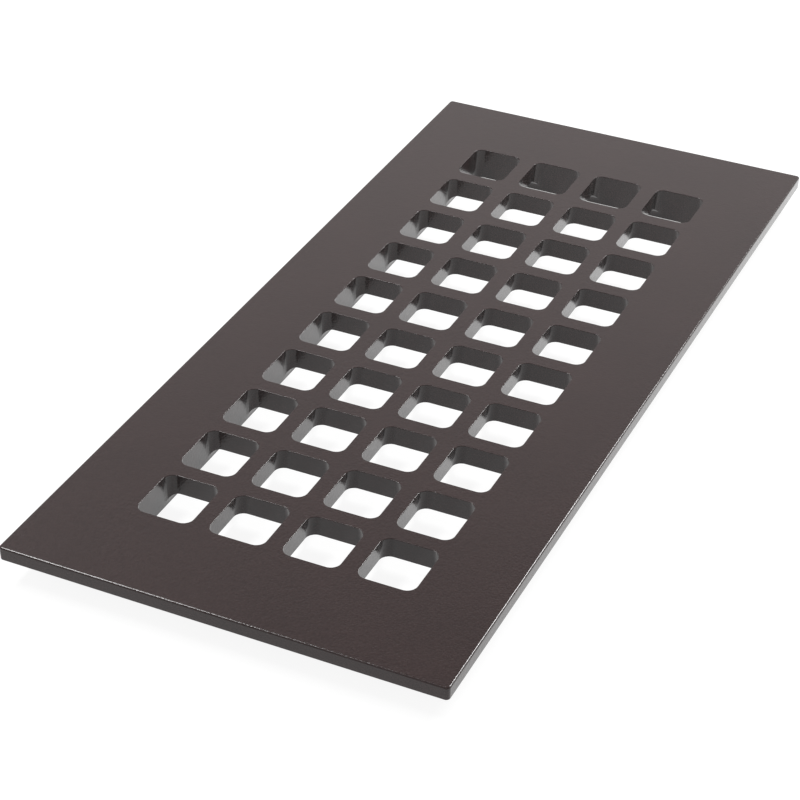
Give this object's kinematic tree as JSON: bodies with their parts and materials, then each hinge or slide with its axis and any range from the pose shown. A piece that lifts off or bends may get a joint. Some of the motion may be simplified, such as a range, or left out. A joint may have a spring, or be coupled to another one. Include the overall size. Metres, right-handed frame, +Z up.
{
  "type": "floor register",
  "caption": "Cast floor register: flat rectangular rim, a lattice of near-square openings with rounded corners for air, and a locating flange below that drops into the floor opening.",
  "frame": {"origin": "centre of the floor plane, on which the underside of the rim lies", "axes": "+X across the short side, +Y along the length, +Z up out of the floor"},
  "size_m": [0.1348, 0.3048, 0.0117],
  "materials": {
    "powder_coat": "satin dark brown powder coat on cast aluminium"
  },
  "bodies": {
    "root": {"register_grille": "powder_coat"}
  },
  "joints": []
}
